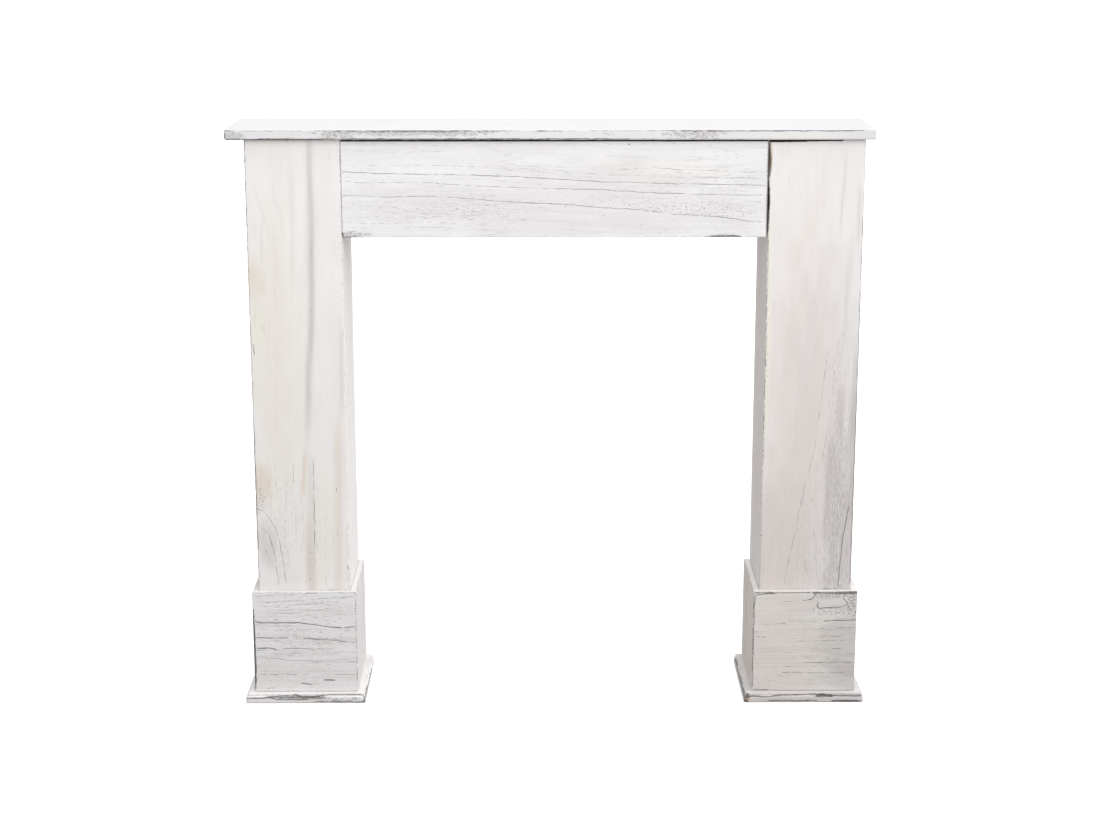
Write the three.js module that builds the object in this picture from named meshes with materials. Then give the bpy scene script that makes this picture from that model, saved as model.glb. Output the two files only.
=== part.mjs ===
// A whitewashed timber fireplace mantelpiece: a shelf on two hollow posts, with a header board
// between them, and round each post's foot a plinth of thinner boards on a moulded base board.
// Millimetres, +Z up, the front towards -Y, and everything flush with the wall at the back.
import * as THREE from "three";
import { mergeVertices } from "three/addons/utils/BufferGeometryUtils.js";

// The whole surround
const overallHeight = 933;
const glueLine = 0.3; // between any two boards that meet

// The shelf
const shelfLength = 1000;
const shelfThickness = 15;
const shelfFrontOverhang = 12; // ahead of the posts
const shelfLeftOverhang = 28; // past the left post's outer face
const shelfRightOverhang = 14; // the shelf sits a little to the left
const shelfLowerRounding = 3;
const shelfUpperRounding = 0.8;

// The hollow posts, open at the back
const postWidth = 148;
const postDepth = 150;
const postBoardThickness = 12;

// The header board, flush with the fronts of the posts
const headerHeight = 151;
const headerThickness = 18;
const headerTopGap = 2.2; // under the shelf
const headerRightGap = 3; // the board is cut a little short of the right post

// The plinths, three boards round the foot of each post
const plinthHeight = 171;
const plinthBoardThickness = 9.5;

// The base boards, moulded on their front and both ends
const baseThickness = 15;
const baseOverhang = 13.5; // past the plinth on three sides
const baseStepHeight = 3.5; // the small step above the nose
const baseNoseRounding = 3; // the nose curves out from the foot of the step
const baseLowerRounding = 2.5;
const baseUpperRounding = 1;

// Small shaping that all boards share
const arrisEasing = 1;
const planCornerRadius = 3;
const arcSteps = 3;
const weldDistance = 1e-4;

// Places worked out from the sizes above; x = 0 is midway between the posts and y = 0 is the wall
const openingWidth = shelfLength - shelfLeftOverhang - shelfRightOverhang - 2 * postWidth;
const postFoot = baseThickness + glueLine;
const shelfUnderside = overallHeight - shelfThickness;
const postHeight = shelfUnderside - glueLine - postFoot;
const postFront = -postDepth;
const postInnerFace = openingWidth / 2;
const postOuterFace = postInnerFace + postWidth;
const plinthFront = postFront - glueLine - plinthBoardThickness;
const plinthInnerFace = postInnerFace - glueLine - plinthBoardThickness;
const plinthOuterFace = postOuterFace + glueLine + plinthBoardThickness;
const baseFront = plinthFront - baseOverhang;
const baseInnerEnd = plinthInnerFace - baseOverhang;
const baseOuterEnd = plinthOuterFace + baseOverhang;
const shelfFront = postFront - shelfFrontOverhang;
const shelfLeftEnd = -postOuterFace - shelfLeftOverhang;
const shelfRightEnd = postOuterFace + shelfRightOverhang;

// The finish of each kind of piece, as colour and roughness
const finishes = {
  shelf: { color: 0xefedea, roughness: 0.72 },
  header: { color: 0xe6e3df, roughness: 0.78 },
  post: { color: 0xe3e0dc, roughness: 0.78 },
  plinth: { color: 0xdbd7d2, roughness: 0.8 },
  base: { color: 0xdad6d0, roughness: 0.8 },
};

// A closed mesh keeps only its positions, with the corners that faces share stored once
function closed(geometry) {
  geometry.deleteAttribute("normal");
  geometry.deleteAttribute("uv");
  const merged = mergeVertices(geometry, weldDistance);
  merged.computeVertexNormals();
  return merged;
}

// Points of a quarter circle from the first angle to the second, about a centre
function quarterArc(centreA, centreB, radius, fromAngle, toAngle) {
  const points = [];
  for (let step = 0; step <= arcSteps; step += 1) {
    const angle = fromAngle + ((toAngle - fromAngle) * step) / arcSteps;
    points.push([centreA + radius * Math.cos(angle), centreB + radius * Math.sin(angle)]);
  }
  return points;
}

// A sawn board whose arrises are all eased: its face is in XY, centred, and its thickness is along Z
function easedBoard(width, height, thickness) {
  const halfWidth = width / 2 - arrisEasing;
  const halfHeight = height / 2 - arrisEasing;
  const face = new THREE.Shape([
    new THREE.Vector2(-halfWidth, -halfHeight),
    new THREE.Vector2(halfWidth, -halfHeight),
    new THREE.Vector2(halfWidth, halfHeight),
    new THREE.Vector2(-halfWidth, halfHeight),
  ]);
  const geometry = new THREE.ExtrudeGeometry(face, {
    depth: thickness - 2 * arrisEasing,
    bevelEnabled: true,
    bevelThickness: arrisEasing,
    bevelSize: arrisEasing,
    bevelSegments: 1,
  });
  geometry.translate(0, 0, -(thickness - 2 * arrisEasing) / 2);
  return closed(geometry);
}

// One level of a moulded board: its front corners are rounded in plan and its back is straight
function planOutline(left, right, front, inset) {
  const radius = planCornerRadius;
  const innerLeft = left + inset + radius;
  const innerRight = right - inset - radius;
  const innerFront = front + inset + radius;
  return [
    [left + inset, 0],
    ...quarterArc(innerLeft, innerFront, radius, Math.PI, 1.5 * Math.PI),
    ...quarterArc(innerRight, innerFront, radius, 1.5 * Math.PI, 2 * Math.PI),
    [right - inset, 0],
  ];
}

// A level board with a moulding on its front and both ends. The profile runs from the underside
// to the top, each point a distance in from the widest outline and a height.
function mouldedBoard(left, right, front, profile) {
  const positions = [];
  const faces = [];
  for (const [inset, height] of profile) {
    for (const [x, y] of planOutline(left, right, front, inset)) {
      positions.push(x, y, height);
    }
  }
  const count = positions.length / 3 / profile.length;
  const at = (level, corner) => level * count + (corner % count);
  for (let level = 0; level + 1 < profile.length; level += 1) {
    for (let corner = 0; corner < count; corner += 1) {
      faces.push(at(level, corner), at(level, corner + 1), at(level + 1, corner + 1));
      faces.push(at(level, corner), at(level + 1, corner + 1), at(level + 1, corner));
    }
  }
  const top = profile.length - 1;
  for (let corner = 1; corner + 1 < count; corner += 1) {
    faces.push(at(0, 0), at(0, corner + 1), at(0, corner));
    faces.push(at(top, 0), at(top, corner), at(top, corner + 1));
  }
  const geometry = new THREE.BufferGeometry();
  geometry.setAttribute("position", new THREE.Float32BufferAttribute(positions, 3));
  geometry.setIndex(faces);
  geometry.computeVertexNormals();
  return geometry;
}

// The shelf's edge is square, with a softly rounded lower arris
function shelfProfile() {
  const upperCentre = shelfUnderside + shelfThickness - shelfUpperRounding;
  return [
    ...quarterArc(
      shelfLowerRounding,
      shelfUnderside + shelfLowerRounding,
      shelfLowerRounding,
      1.5 * Math.PI,
      Math.PI,
    ),
    ...quarterArc(shelfUpperRounding, upperCentre, shelfUpperRounding, Math.PI, Math.PI / 2),
  ];
}

// The base board's edge is a rounded nose with a small step above it
function baseProfile() {
  const noseCentre = baseThickness - baseStepHeight - baseNoseRounding;
  const stepInset = baseNoseRounding + baseUpperRounding;
  const stepCentre = baseThickness - baseUpperRounding;
  return [
    ...quarterArc(baseLowerRounding, baseLowerRounding, baseLowerRounding, 1.5 * Math.PI, Math.PI),
    ...quarterArc(baseNoseRounding, noseCentre, baseNoseRounding, Math.PI, Math.PI / 2),
    ...quarterArc(stepInset, stepCentre, baseUpperRounding, Math.PI, Math.PI / 2),
  ];
}

const mantelpiece = new THREE.Group();

function addPiece(name, geometry, finish) {
  const material = new THREE.MeshStandardMaterial({ ...finishes[finish], metalness: 0 });
  const piece = new THREE.Mesh(geometry, material);
  piece.name = name;
  mantelpiece.add(piece);
  return piece;
}

// A board that faces the front
function addFrontBoard(name, finish, { left, right, front, foot, height, thickness }) {
  const board = addPiece(name, easedBoard(right - left, height, thickness), finish);
  board.rotation.x = Math.PI / 2;
  board.position.set((left + right) / 2, front + thickness / 2, foot + height / 2);
}

// A board that stands square to the wall, from its front edge back to the wall.
// outward is the side that its shown face looks to, -1 for the left and 1 for the right.
function addSideBoard(name, finish, { face, outward, frontEdge, foot, height, thickness }) {
  const board = addPiece(name, easedBoard(height, -frontEdge, thickness), finish);
  board.rotation.y = Math.PI / 2;
  board.position.set(face - (outward * thickness) / 2, frontEdge / 2, foot + height / 2);
}

function addShelf() {
  const geometry = mouldedBoard(shelfLeftEnd, shelfRightEnd, shelfFront, shelfProfile());
  addPiece("shelf_board", geometry, "shelf");
}

function addHeader() {
  addFrontBoard("header_board", "header", {
    left: -postInnerFace + glueLine,
    right: postInnerFace - headerRightGap,
    front: postFront,
    foot: shelfUnderside - headerTopGap - headerHeight,
    height: headerHeight,
    thickness: headerThickness,
  });
}

// The three boards of a hollow upright, whose front board covers the edges of its side boards.
// side is -1 for the left upright and 1 for the right one.
function addUpright(kind, word, side, { innerFace, outerFace, front, height, thickness }) {
  const foot = postFoot;
  const frontEdge = front + thickness + glueLine;
  const size = { frontEdge, foot, height, thickness };
  addFrontBoard(`${kind}_front_board_${word}`, kind, {
    left: Math.min(side * innerFace, side * outerFace),
    right: Math.max(side * innerFace, side * outerFace),
    front,
    foot,
    height,
    thickness,
  });
  addSideBoard(`${kind}_inner_board_${word}`, kind, { face: side * innerFace, outward: -side, ...size });
  addSideBoard(`${kind}_outer_board_${word}`, kind, { face: side * outerFace, outward: side, ...size });
}

function addPost(word, side) {
  addUpright("post", word, side, {
    innerFace: postInnerFace,
    outerFace: postOuterFace,
    front: postFront,
    height: postHeight,
    thickness: postBoardThickness,
  });
}

function addPlinth(word, side) {
  addUpright("plinth", word, side, {
    innerFace: plinthInnerFace,
    outerFace: plinthOuterFace,
    front: plinthFront,
    height: plinthHeight,
    thickness: plinthBoardThickness,
  });
}

function addBase(word, side) {
  const left = Math.min(side * baseInnerEnd, side * baseOuterEnd);
  const right = Math.max(side * baseInnerEnd, side * baseOuterEnd);
  addPiece(`base_board_${word}`, mouldedBoard(left, right, baseFront, baseProfile()), "base");
}

addShelf();
addHeader();
for (const [word, side] of [["left", -1], ["right", 1]]) {
  addPost(word, side);
  addPlinth(word, side);
  addBase(word, side);
}

// The origin is on the floor, in the middle of the space that the surround takes up
const leftmost = Math.min(shelfLeftEnd, -baseOuterEnd);
const rightmost = Math.max(shelfRightEnd, baseOuterEnd);
const foremost = Math.min(shelfFront, baseFront);
mantelpiece.position.set(-(leftmost + rightmost) / 2, -foremost / 2, 0);

export default mantelpiece;
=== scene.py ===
"""A whitewashed timber mantelpiece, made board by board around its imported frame.

The frame is in metres, +Z up, the front towards -Y, and the sizes below are in millimetres. Each
board is a dense mesh with eased and worn arrises, open cracks and fine sunken growth lines. What
the finish does at a place, such as how far the wash is rubbed through, is kept on the mesh as
attributes, and the materials read those.
"""
import math
from dataclasses import dataclass, field

import bpy
import numpy as np
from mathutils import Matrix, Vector


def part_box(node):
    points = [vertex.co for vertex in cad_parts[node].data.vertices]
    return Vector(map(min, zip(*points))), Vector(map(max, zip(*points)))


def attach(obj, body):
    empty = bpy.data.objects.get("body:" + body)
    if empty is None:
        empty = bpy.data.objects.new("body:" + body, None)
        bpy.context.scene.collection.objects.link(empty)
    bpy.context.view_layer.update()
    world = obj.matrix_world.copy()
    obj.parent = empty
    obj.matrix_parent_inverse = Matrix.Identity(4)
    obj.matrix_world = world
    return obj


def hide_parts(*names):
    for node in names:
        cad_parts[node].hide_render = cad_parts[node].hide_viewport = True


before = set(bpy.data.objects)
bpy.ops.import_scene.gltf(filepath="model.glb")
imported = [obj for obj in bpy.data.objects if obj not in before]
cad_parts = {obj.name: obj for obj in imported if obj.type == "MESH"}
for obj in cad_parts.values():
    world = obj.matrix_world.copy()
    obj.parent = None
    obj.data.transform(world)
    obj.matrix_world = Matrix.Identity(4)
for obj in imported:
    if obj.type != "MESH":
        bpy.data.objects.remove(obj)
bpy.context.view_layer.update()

MM = 0.001

# The camera stands where the photograph was taken from
EYE = (-0.0209, -3.06335, 1.292)
PITCH_DOWN = math.radians(12.659)
YAW_RIGHT = math.radians(0.294)
LENS = 64.07
SENSOR_WIDTH = 36.0
SHIFT_UP = -0.075

# The fall of the mesh lines on a board. Each pair of steps is along the board and across it.
ARRIS_LINES = (0.0, 0.3, 0.7, 1.2, 2.0, 3.4)
FINE_STEPS = (1.6, 1.0)
FRONT_STEPS = (5.0, 1.0)
EDGE_STEPS = (3.0, 5.0)
PLAIN_STEPS = (6.0, 2.5)
SIDE_STEPS = (10.0, 3.5)
THROUGH_STEP = 3.0
CLOSE_STEP = 1.5

# Shaping that all boards share
EASING = 1.0
SQUEEZE_REACH = 14.0
WEAR_ROUNDING = 1.6
GROWTH_DEPTH = 0.1
ON_EDGE = 1e-6


# Small numeric tools

# Large odd numbers that give neighbouring corners of the noise unlike values
SCATTER_A = 374761393
SCATTER_B = 668265263
SCATTER_SEED = 1442695041
SCATTER_MIX = 1274126177
WORD = 0xFFFFFFFF
HALF_WORD = 0xFFFF


def soft_noise(a, b, seed):
    """Smooth noise from 0 to 1 over two coordinates, with one lattice cell for each unit."""
    cell_a, cell_b = np.floor(a), np.floor(b)
    part_a, part_b = a - cell_a, b - cell_b
    ease_a = part_a * part_a * (3 - 2 * part_a)
    ease_b = part_b * part_b * (3 - 2 * part_b)

    def corner(step_a, step_b):
        whole_a = (cell_a + step_a).astype(np.int64)
        whole_b = (cell_b + step_b).astype(np.int64)
        mixed = (whole_a * SCATTER_A + whole_b * SCATTER_B + seed * SCATTER_SEED) & WORD
        mixed = ((mixed ^ (mixed >> 13)) * SCATTER_MIX) & WORD
        return ((mixed ^ (mixed >> 16)) & HALF_WORD) / HALF_WORD

    near = corner(0, 0) * (1 - ease_a) + corner(1, 0) * ease_a
    far = corner(0, 1) * (1 - ease_a) + corner(1, 1) * ease_a
    return near * (1 - ease_b) + far * ease_b


def noise_over(u, v, cell, seed):
    """Smooth noise over a board, in cells of so many millimetres along it and across it."""
    return soft_noise(u / cell[0], v / cell[1], seed)


def rise(value, low, high):
    """0 below low, 1 above high, and smooth between."""
    share = np.clip((value - low) / (high - low), 0.0, 1.0)
    return share * share * (3 - 2 * share)


def box_of(node):
    low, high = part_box(node)
    return np.array(low), np.array(high)


# What can be said of a place on a board. Places on the shown face are in millimetres along the
# grain and across it, and places on a rim are along the rim and down from the shown face.

@dataclass
class Line:
    """A crack, a dark growth line or, where it is very short, a pin hole. A line of the gap-shade kind is
    a dark line of painted shade in a gap.

    Below a darkness of about 0.6 it breaks up into dashes.
    """
    path: list
    dark: float = 0.6
    width: float = 0.55
    depth: float = 0.15
    kind: str = "crack"


@dataclass
class Streak:
    """A soft band of colour, whose path runs up the board and fades out at both ends."""
    kind: str
    path: list
    width: float = 5.0
    strength: float = 1.0


@dataclass
class Patch:
    """A soft-edged oval where the finish differs, such as rub, stipple, figure, a stain or painted shade.
    """
    kind: str
    at: tuple
    size: tuple
    strength: float = 1.0


@dataclass
class Board:
    """How one board lies in the frame, and what shows on it.

    along, across and through are the signed axes of its grain, its width and its thickness, which
    is counted from the shown face. slack_top is how much the top is cut short at its two sides.
    """
    node: str
    slot: str
    along: str
    across: str
    through: str
    marks: list = field(default_factory=list)
    rim_marks: dict = field(default_factory=dict)
    profile: str = "sawn"
    steps: tuple = PLAIN_STEPS
    close_lines: tuple = ()
    seed: int = 1
    rub: float = 0.3
    figure: float = 0.5
    slope: float = 0.0
    clean_edge: bool = False
    # Rims painted near black: painted shade in the gaps against the shelf and the posts
    gap_shaded_rims: tuple = ()
    slack_top: tuple = (0.0, 0.0)


AXES = {"x": 0, "y": 1, "z": 2}


def direction(word):
    """The unit vector of a signed axis such as +x or -y."""
    vector = np.zeros(3)
    vector[AXES[word[1]]] = 1.0 if word[0] == "+" else -1.0
    return vector


# The shell of a board: a box of quads whose lines crowd together at the arrises

def mesh_lines(length, step, close=()):
    """Even lines, which crowd together at both ends and between the two places in close."""
    fine = np.array(ARRIS_LINES)
    count = max(2, round((length - 2 * fine[-1]) / step))
    middle = np.linspace(fine[-1], length - fine[-1], count + 1)
    if close:
        dense = np.linspace(*close, round((close[1] - close[0]) / CLOSE_STEP) + 1)
        below = middle[middle < close[0] - CLOSE_STEP]
        above = middle[middle > close[1] + CLOSE_STEP]
        middle = np.concatenate([below, dense, above])
    return np.concatenate([fine[:-1], middle, length - fine[-2::-1]])


# Where a moulded board's profile turns, down from its top and up from its underside
UPPER_TURNS = (0.0, 0.25, 0.6, 1.0, 2.0, 3.0, 3.4, 3.6, 3.9, 4.4, 5.0, 5.7, 6.5, 8.0)
LOWER_TURNS = (0.2, 0.6, 1.1, 1.8, 2.6, 3.6)


def moulding_lines(thickness):
    """Lines through a moulded board, close together where its profile turns."""
    return np.array([*UPPER_TURNS, *(thickness - turn for turn in reversed(LOWER_TURNS)), thickness])


def perimeter(count_u, count_v):
    """The grid places round the outline, in order."""
    loop = [(i, 0) for i in range(count_u)]
    loop += [(count_u - 1, j) for j in range(1, count_v)]
    loop += [(i, count_v - 1) for i in range(count_u - 2, -1, -1)]
    loop += [(0, j) for j in range(count_v - 2, 0, -1)]
    return np.array(loop)


def shell(lines_u, lines_v, lines_w):
    """Places (u, v, w) and quads of the closed skin of a box. w is 0 on the shown face."""
    nu, nv, nw = len(lines_u), len(lines_v), len(lines_w)
    grid_u, grid_v = np.meshgrid(lines_u, lines_v, indexing="ij")
    loop = perimeter(nu, nv)
    face = np.stack([grid_u.ravel(), grid_v.ravel()], axis=1)
    round_edge = np.stack([lines_u[loop[:, 0]], lines_v[loop[:, 1]]], axis=1)

    places = [np.column_stack([face, np.zeros(len(face))])]
    places.append(np.column_stack([face, np.full(len(face), lines_w[-1])]))
    for depth in lines_w[1:-1]:
        places.append(np.column_stack([round_edge, np.full(len(loop), depth)]))

    grid = np.arange(nu * nv).reshape(nu, nv)
    corners = [grid[:-1, :-1], grid[:-1, 1:], grid[1:, 1:], grid[1:, :-1]]
    cap = np.stack(corners, axis=-1).reshape(-1, 4)
    quads = [cap, (cap + nu * nv)[:, ::-1]]
    rim = grid[loop[:, 0], loop[:, 1]]
    levels = [rim]
    levels += [2 * nu * nv + level * len(loop) + np.arange(len(loop)) for level in range(nw - 2)]
    levels.append(rim + nu * nv)
    for upper, lower in zip(levels[:-1], levels[1:]):
        quads.append(np.stack([upper, np.roll(upper, -1), np.roll(lower, -1), lower], axis=1))
    return np.concatenate(places), np.concatenate(quads)


# The profiles of the boards' edges: how far the edge lies in from the outline at each depth.
# Wear rounds the shown arris fully and these others by a share.
BACK_WEAR = 0.5
STEP_WEAR = 0.4
NOSE_WEAR = 0.5
FOOT_WEAR = 0.3

SHELF_LOWER_ROUNDING = 3.0
SHELF_UPPER_ROUNDING = 0.8
STEP_HEIGHT = 3.5
NOSE_ROUNDING = 3.0
BASE_LOWER_ROUNDING = 2.5


def quarter_round(depth, radius):
    """The inset of an arris of that radius, at a depth below the face."""
    inside = np.clip(radius - depth, 0.0, radius)
    return radius - np.sqrt(np.maximum(radius * radius - inside * inside, 0.0))


def sawn_profile(depth, thickness, wear):
    upper = quarter_round(depth, EASING + wear)
    lower = quarter_round(thickness - depth, EASING + BACK_WEAR * wear)
    return np.maximum(upper, lower)


def shelf_profile(depth, thickness, wear):
    upper = quarter_round(depth, SHELF_UPPER_ROUNDING + wear)
    lower = quarter_round(thickness - depth, SHELF_LOWER_ROUNDING)
    return np.maximum(upper, lower)


def base_profile(depth, thickness, wear):
    """A small step above a rounded nose."""
    step = NOSE_ROUNDING + quarter_round(depth, EASING + STEP_WEAR * wear)
    nose = quarter_round(depth - STEP_HEIGHT, NOSE_ROUNDING + NOSE_WEAR * wear)
    foot = quarter_round(thickness - depth, BASE_LOWER_ROUNDING + FOOT_WEAR * wear)
    return np.maximum(np.where(depth < STEP_HEIGHT, step, nose), foot)


PROFILES = {"sawn": sawn_profile, "shelf": shelf_profile, "base": base_profile}
PLAN_ROUNDING = {"sawn": 1.0, "shelf": 3.0, "base": 3.0}

# Depths below the top at which a profile has an arris that wears, as shares of the thickness
ARRIS_DEPTHS = {"sawn": (0.0, 1.0), "shelf": (0.0, 1.0), "base": (0.03, 0.31, 0.93)}


# What the marks do to each place on the board

FINISHES = ("rub", "crack", "gap_shade", "stipple", "figure", "tan", "grey", "pink", "cream", "clean")

# How a line falls off to its sides, in line widths, and the cells in which it wanders and swells
LINE_FALL = 0.4
WANDER_CELL = (12.0, 12.0)
JITTER_CELL = (4.0, 4.0)
SWAY_CELL = (9.0, 9.0)
SWELL_CELL = (14.0, 14.0)

# The cells of the ragged edges of streaks and patches
STREAK_CELL = 60.0
STREAK_FADE = 0.3
RUB_CELL = (8.0, 2.5)
STAIN_CELL = (45.0, 12.0)

# The cells of the growth lines' drift across the board, and of the lines themselves
DRIFT_CELL = (240.0, 60.0)
BEND_CELL = (60.0, 18.0)
RIDGE_CELL = (120.0, 2.7)
HAIR_CELL = (50.0, 1.5)
DRIFT_REACH = 16.0
BEND_REACH = 2.5

# How far paint and marks lap over an arris
# PAINT_LAP is how far the wash reaches round a rim before the painted gap shade starts
PAINT_LAP = 0.8
MARK_LAP = 1.5
CLEAN_LAP = 0.3


def distance_to(path, u, v):
    """How far each place lies from a path of straight runs."""
    nearest = np.full(len(u), np.inf)
    for (from_u, from_v), (to_u, to_v) in zip(path[:-1], path[1:]):
        run_u, run_v = to_u - from_u, to_v - from_v
        run_squared = max(run_u ** 2 + run_v ** 2, ON_EDGE)
        share = np.clip(((u - from_u) * run_u + (v - from_v) * run_v) / run_squared, 0.0, 1.0)
        nearest = np.minimum(nearest, np.hypot(u - from_u - share * run_u, v - from_v - share * run_v))
    return nearest


def line_mask(mark, u, v, seed):
    """Falls evenly from 1 on the line, which wanders a little and swells and thins."""
    # Lines of painted gap shade run straight and even, without wandering
    if mark.kind == "gap_shade":
        return np.clip(1.0 - LINE_FALL * distance_to(mark.path, u, v) / mark.width, 0.0, 1.0)
    jitter = 0.5 * noise_over(u, v, JITTER_CELL, seed + 9)
    wander_v = noise_over(u, v, WANDER_CELL, seed) + jitter - 0.75
    wander_u = noise_over(u, v, SWAY_CELL, seed + 17) - 0.5
    swell = 0.7 + 0.6 * noise_over(u, v, SWELL_CELL, seed + 5)
    away = distance_to(mark.path, u + wander_u, v + wander_v)
    return np.clip(1.0 - LINE_FALL * away / (mark.width * swell), 0.0, 1.0)


def streak_mask(mark, u, v, seed):
    """Falls off softly to both sides, and fades out towards both ends."""
    wander = (soft_noise(u / STREAK_CELL, u * 0 + seed, seed) - 0.5) * 0.5 * mark.width
    low, high = mark.path[0][0], mark.path[-1][0]
    fade = STREAK_FADE * (high - low)
    ends = rise(u, low, low + fade) * rise(high - u, 0.0, fade)
    return ends * np.exp(-((distance_to(mark.path, u, v + wander) / mark.width) ** 2))


def patch_mask(mark, u, v, seed):
    """Falls off softly from the middle of an oval with a ragged edge."""
    away_u = (u - mark.at[0]) / mark.size[0]
    away_v = (v - mark.at[1]) / mark.size[1]
    cell = RUB_CELL if mark.kind == "rub" else STAIN_CELL
    ragged = (noise_over(u, v, cell, seed) - 0.5) * 0.5
    return rise(1.0 - np.hypot(away_u, away_v) + ragged, 0.0, 0.7)


def lay_marks(marks, masks, depth, u, v, where, seed):
    """Adds one face's marks to the masks, and cuts its cracks."""
    for number, mark in enumerate(marks):
        if isinstance(mark, Line):
            mask = line_mask(mark, u, v, seed + number) * where
            depth = np.maximum(depth, rise(mask, LINE_FALL, 1.0) * mark.depth)
            mask = mask * mark.dark
        elif isinstance(mark, Streak):
            mask = streak_mask(mark, u, v, seed + number) * where * mark.strength
        else:
            mask = patch_mask(mark, u, v, seed + number) * where * mark.strength
        masks[mark.kind] = np.maximum(masks[mark.kind], mask)
    return depth


def growth_lines(board, u, v, figure):
    """Fine growth lines that wander along the board, from 0 to 1."""
    drift = (noise_over(u, v, DRIFT_CELL, board.seed) - 0.5) * DRIFT_REACH
    bend = (noise_over(u, v, BEND_CELL, board.seed + 1) - 0.5) * BEND_REACH
    across = v + (drift + bend - board.slope * u)
    ridge = noise_over(u, across, RIDGE_CELL, board.seed + 2)
    hair = noise_over(u, across, HAIR_CELL, board.seed + 3)
    lines = rise(ridge, 0.66, 0.95) * 0.8 + rise(hair, 0.66, 0.95) * 0.5
    return np.clip((board.figure + 0.5 * figure) * lines, 0.0, 1.0)


def finish_of(board, size, u, v, w, on_rim, shown):
    """The finish at each place: named masks from 0 to 1, and the depth of the cracks."""
    length, width, _ = size
    flat = np.zeros(len(u))
    masks = {name: flat for name in FINISHES}
    depth = lay_marks(board.marks, masks, flat, u, v, shown, board.seed * 31)
    rims = {
        "front": (on_rim & (v < ON_EDGE), u),
        "upper": (on_rim & (v > width - ON_EDGE), u),
        "start": (on_rim & (u < ON_EDGE), v),
        "end": (on_rim & (u > length - ON_EDGE), v),
    }
    for face, marks in board.rim_marks.items():
        where, along = rims[face]
        lay_marks(marks, masks, flat, along, w, where, board.seed * 37)
    # Rims in the gaps are filled with painted gap shade, past the wash's lap
    for face in board.gap_shaded_rims:
        masks["gap_shade"] = np.where(rims[face][0] & (w > PAINT_LAP), 1.0, masks["gap_shade"])
    return masks, depth


# How unevenly a board is worn: the least rub, what the bites add, and the cells they lie in
LEAST_RUB = 0.35
BITE_RUB = 1.3
BITE_CELL = (11.0, 6.0)
BITE_GROUP_CELL = (37.0, 37.0)


def worn(board, masks, u, v, w, on_rim):
    """How far the wash is rubbed through, from 0 to 1, and how much that rounds the arrises."""
    bites = noise_over(u + w, v, BITE_CELL, board.seed + 40)
    bites = bites * noise_over(u, v + w, BITE_GROUP_CELL, board.seed + 41)
    kept = 1 - masks["clean"]
    rub = np.clip(board.rub * (LEAST_RUB + BITE_RUB * bites) + masks["rub"] * kept, 0.0, 1.0) * kept
    wear = WEAR_ROUNDING * rub * rise(bites, 0.15, 0.7)
    if board.clean_edge:
        rub = np.where(on_rim & (w > CLEAN_LAP), 0.0, rub)
    return rub, wear


def rounded_plan(board, size, u, v):
    """The outline with rounded corners. A moulded board keeps its back corners square."""
    length, width, _ = size
    radius = PLAN_ROUNDING[board.profile]
    last_v = width - radius if board.profile == "sawn" else width
    core_u = np.clip(u, radius, length - radius)
    core_v = np.clip(v, radius, last_v)
    out_u, out_v = u - core_u, v - core_v
    spread = np.hypot(out_u, out_v)
    reach = np.maximum(np.abs(out_u), np.abs(out_v))
    pull = np.divide(reach, spread, out=np.ones_like(spread), where=spread > 0)
    return core_u + out_u * pull, core_v + out_v * pull


def squeeze(distance):
    """How much of an edge's inset reaches a place at that distance from it."""
    return np.clip(1.0 - distance / SQUEEZE_REACH, 0.0, 1.0) ** 2


def top_slack(board, size, v, w):
    """How much the front of the board's top is cut short. Its back reaches the full length."""
    _, width, thickness = size
    return np.interp(v, (0.0, width), board.slack_top) * rise(0.75 * thickness - w, 0.0, 1.0)


# Board meshes

def shaped(board, size, places):
    """Eases, wears and cuts the box into the board's true shape, and gives its finish."""
    length, width, thickness = size
    u, v, w = places.T
    shown = (w < 0.5 * thickness).astype(float)
    edge_u = np.minimum(u, length - u)
    edge_v = np.minimum(v, width - v)
    arris_depths = ARRIS_DEPTHS[board.profile]
    edge_w = np.min([np.abs(w - share * thickness) for share in arris_depths], axis=0)
    in_plan = np.minimum(edge_u, edge_v)
    on_rim = in_plan < ON_EDGE
    arris = np.where(on_rim, np.minimum(edge_w, np.maximum(edge_u, edge_v)), in_plan)

    marked = np.where(on_rim & (w > MARK_LAP), 0.0, shown)
    masks, cracks = finish_of(board, size, u, v, w, on_rim, marked)
    growth = growth_lines(board, u, v + w, masks["figure"])
    rub, wear = worn(board, masks, u, v, w, on_rim)

    inset = PROFILES[board.profile](w, thickness, wear)
    back_inset = inset if board.profile == "sawn" else 0.0
    top_inset = inset + top_slack(board, size, v, w)
    plan_u, plan_v = rounded_plan(board, size, u, v)
    new_u = plan_u + inset * squeeze(u) - top_inset * squeeze(length - u)
    new_v = plan_v + inset * squeeze(v) - back_inset * squeeze(width - v)

    sunk = (GROWTH_DEPTH * growth + cracks) * rise(in_plan, 0.4, 2.5)
    sunk_arris = 0.5 * wear * np.exp(-((in_plan / 2.2) ** 2))
    cut = np.where(on_rim, 0.0, sunk + sunk_arris)
    new_w = w + np.where(w < 0.5 * thickness, cut, -cut)
    masks["rub"] = rub
    masks["growth"] = growth
    masks["hidden"] = np.where(on_rim, 0.0, 1 - shown)
    masks["arris"] = arris * MM
    return np.column_stack([new_u, new_v, new_w]), masks


# What the materials read from the mesh, in threes where they fit
THREE_MASKS = {
    # The third part of wear is the painted shade in the gaps, not wear
    "wear": ("rub", "crack", "gap_shade"),
    "texture": ("stipple", "figure", "growth"),
    "stain_and_shade": ("tan", "grey", "pink"),
}
SINGLE_MASKS = ("cream", "hidden", "arris")

# Each board reads the grain from a place of its own, in metres for each step of its seed
GRAIN_OFFSET = (1.7, 0.9, 0.0)


def store(mesh, name, values, kind):
    layer = mesh.attributes.new(name, kind, "POINT")
    key = "vector" if kind == "FLOAT_VECTOR" else "value"
    layer.data.foreach_set(key, np.asarray(values, dtype=np.float32).ravel())


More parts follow.
